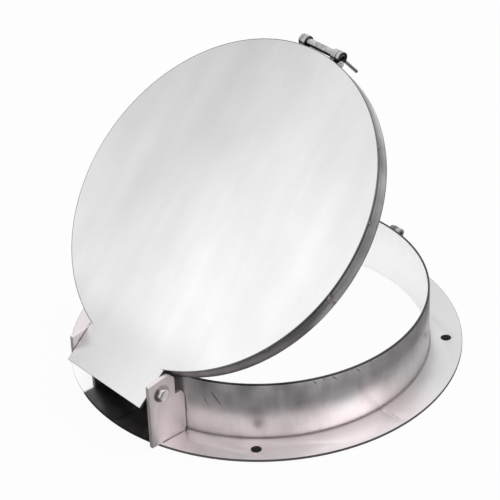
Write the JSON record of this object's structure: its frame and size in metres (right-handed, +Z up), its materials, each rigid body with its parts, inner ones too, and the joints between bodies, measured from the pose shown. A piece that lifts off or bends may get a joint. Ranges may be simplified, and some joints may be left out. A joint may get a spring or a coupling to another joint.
{
  "type": "hinged manway cover",
  "caption": "Round hinged manway cover: a welded neck on a bolting flange and a skirted sheet lid, with a tongue hinge and a cam bar and swing hook latch.",
  "frame": {"origin": "centre of the neck at the base flange's underside", "axes": "+Z up through the neck, +X along the hinge axis, hinge on the -Y side and latch on the +Y side"},
  "size_m": [0.6, 0.6131, 0.4643],
  "materials": {
    "flange_sheet": "stainless sheet, faintly brushed, pinkish mill finish",
    "neck_sheet": "stainless sheet, brushed round the neck",
    "ear_plate": "stainless plate, matt mill finish",
    "weld_metal": "brushed stainless weld bead with heat tint",
    "lid_sheet": "bright stainless sheet with soft brushed streaks",
    "skirt_sheet": "dark stainless strip, brushed lengthwise",
    "fastener_steel": "plain stainless fasteners",
    "tube_steel": "drawn stainless tube",
    "bush_bronze": "plain bearing bronze",
    "gasket_rubber": "white food-grade silicone rubber",
    "latch_steel": "turned stainless, tumbled",
    "lever_steel": "dark steel rod"
  },
  "bodies": {
    "base": {"flange_segments": "flange_sheet", "flange_seam_welds": "weld_metal", "neck_shell": "neck_sheet", "neck_seam_weld": "weld_metal", "foot_weld": "weld_metal", "left_ear": "ear_plate", "right_ear": "ear_plate", "ear_welds": "weld_metal", "hinge_bolt": "fastener_steel", "hinge_washer": "fastener_steel", "hinge_nut": "fastener_steel", "hook_lug": "ear_plate", "hook_lug_weld": "weld_metal", "hook_pin": "latch_steel", "hook_pin_collar": "latch_steel"},
    "lid": {"lid_plate": "lid_sheet", "lid_skirt": "skirt_sheet", "skirt_tacks": "weld_metal", "seal_eye": "ear_plate", "lid_gasket": "gasket_rubber", "gasket_retainer": "skirt_sheet", "hinge_tube": "tube_steel", "hinge_tube_welds": "weld_metal", "hinge_bushes": "bush_bronze", "latch_boss_left": "latch_steel", "latch_boss_right": "latch_steel"},
    "cam": {"cam_bar": "latch_steel", "bar_collar": "latch_steel", "collar_screw": "fastener_steel", "lever_hub": "latch_steel", "bar_lever": "lever_steel"},
    "hook": {"swing_hook": "latch_steel"}
  },
  "joints": [
    {"name": "lid_hinge", "type": "hinge", "parent": "base", "child": "lid", "pos_m": [0, -0.277, 0.091], "axis": [1, 0, 0], "range_deg": [-41.3, 78.7]},
    {"name": "cam_turn", "type": "hinge", "parent": "lid", "child": "cam", "pos_m": [0, 0.1296, 0.45499], "axis": [1, 0, 0], "range_deg": [0, 180]},
    {"name": "hook_swing", "type": "hinge", "parent": "base", "child": "hook", "pos_m": [0, 0.2783, 0.0698], "axis": [1, 0, 0], "range_deg": [0, 186]}
  ]
}
